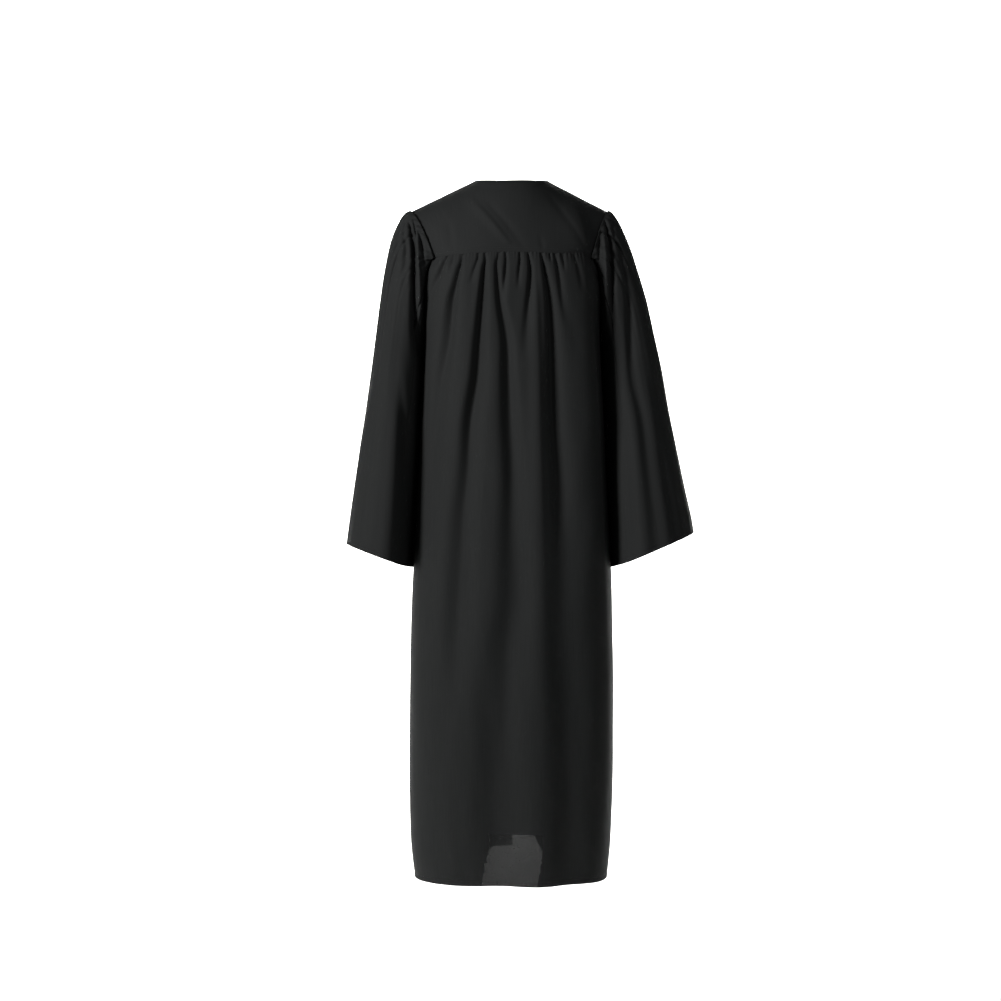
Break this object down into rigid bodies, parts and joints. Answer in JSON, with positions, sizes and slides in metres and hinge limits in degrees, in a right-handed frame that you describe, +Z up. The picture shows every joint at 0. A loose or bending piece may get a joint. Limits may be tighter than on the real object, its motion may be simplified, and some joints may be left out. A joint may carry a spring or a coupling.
{
  "type": "graduation gown",
  "caption": "Worn black graduation gown, gathered to back and front yokes, with open bell sleeves and a zipped V-neck front.",
  "frame": {"origin": "middle of the neck opening, at the height where the neck edge meets the shoulder seams, where the wearer's shoulders hold the gown", "axes": "+Z up; the gown's front faces -Y and its back +Y; its left sleeve is at +X"},
  "size_m": [0.6684, 0.3474, 1.338],
  "materials": {
    "gown_cloth": "matte black woven polyester with a faint dry sheen, slightly see-through in one layer",
    "zip_tape": "black knitted polyester zip tape",
    "zip_metal": "black lacquered die-cast zinc"
  },
  "bodies": {
    "gown": {"back_yoke": "gown_cloth", "front_yoke_left": "gown_cloth", "front_yoke_right": "gown_cloth", "back_panel": "gown_cloth", "front_panel_left": "gown_cloth", "front_panel_right": "gown_cloth", "sleeve_left": "gown_cloth", "sleeve_right": "gown_cloth", "zip_tape_left": "zip_tape", "zip_tape_right": "zip_tape", "zip_slider": "zip_metal"},
    "pull": {"zip_pull": "zip_metal"}
  },
  "joints": [
    {"name": "pull_swing", "type": "hinge", "parent": "gown", "child": "pull", "pos_m": [0, -0.12019, -0.16216], "axis": [-1, 0, 0], "range_deg": [0, 150]}
  ]
}
